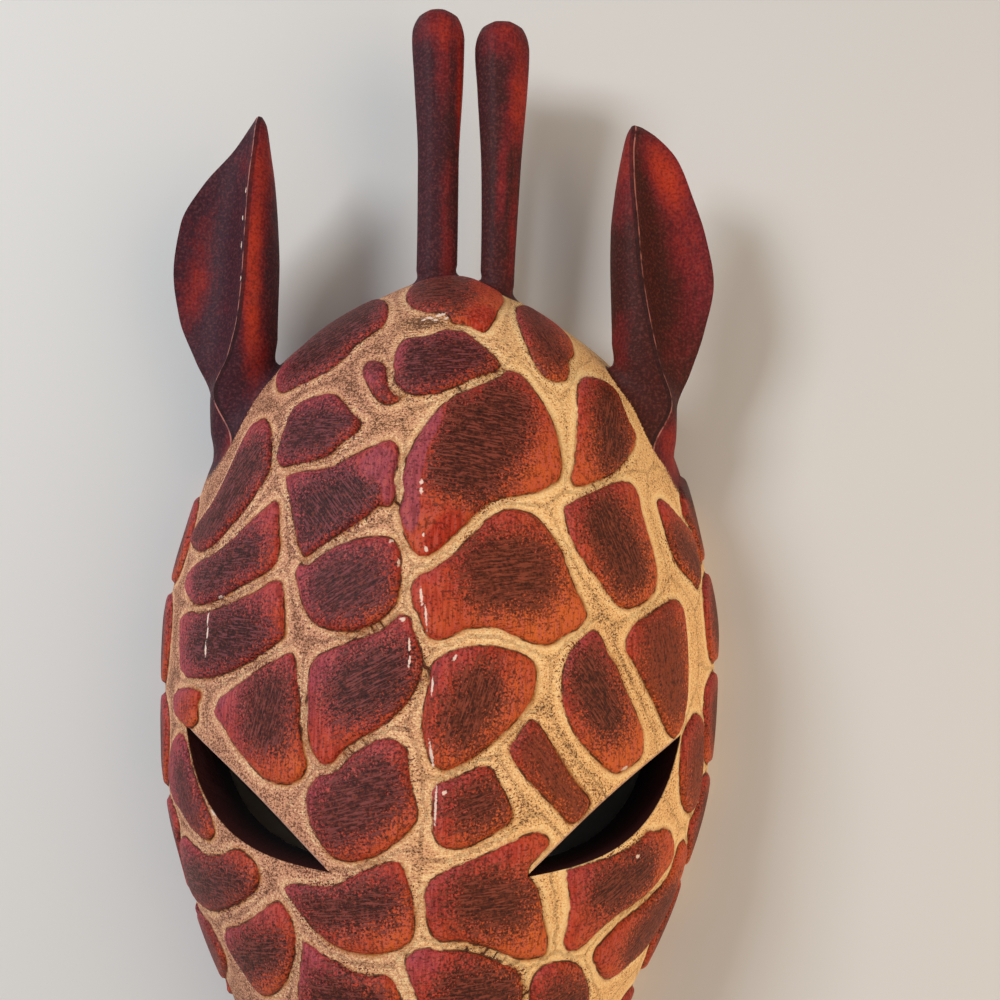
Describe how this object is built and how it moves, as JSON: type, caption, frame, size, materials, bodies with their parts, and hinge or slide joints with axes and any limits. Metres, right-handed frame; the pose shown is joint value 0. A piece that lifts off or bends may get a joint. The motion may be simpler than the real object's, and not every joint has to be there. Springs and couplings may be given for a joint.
{
  "type": "carved wooden animal mask",
  "caption": "Long domed giraffe-head mask carved from one block: hollow back, slanted eye slits, raised coat patches, two upright horns and two leaf-shaped ears.",
  "frame": {"origin": "middle of the bounding box's footprint, in the plane of the flat back rim that the mask lies on", "axes": "+Y from the chin to the horns, +Z from the back rim out through the face, +X to the right of someone looking at the face"},
  "size_m": [0.2041, 0.46, 0.0951],
  "materials": {
    "painted_wood": "hand painted and waxed, satin"
  },
  "bodies": {
    "root": {"mask": "painted_wood"}
  },
  "joints": []
}
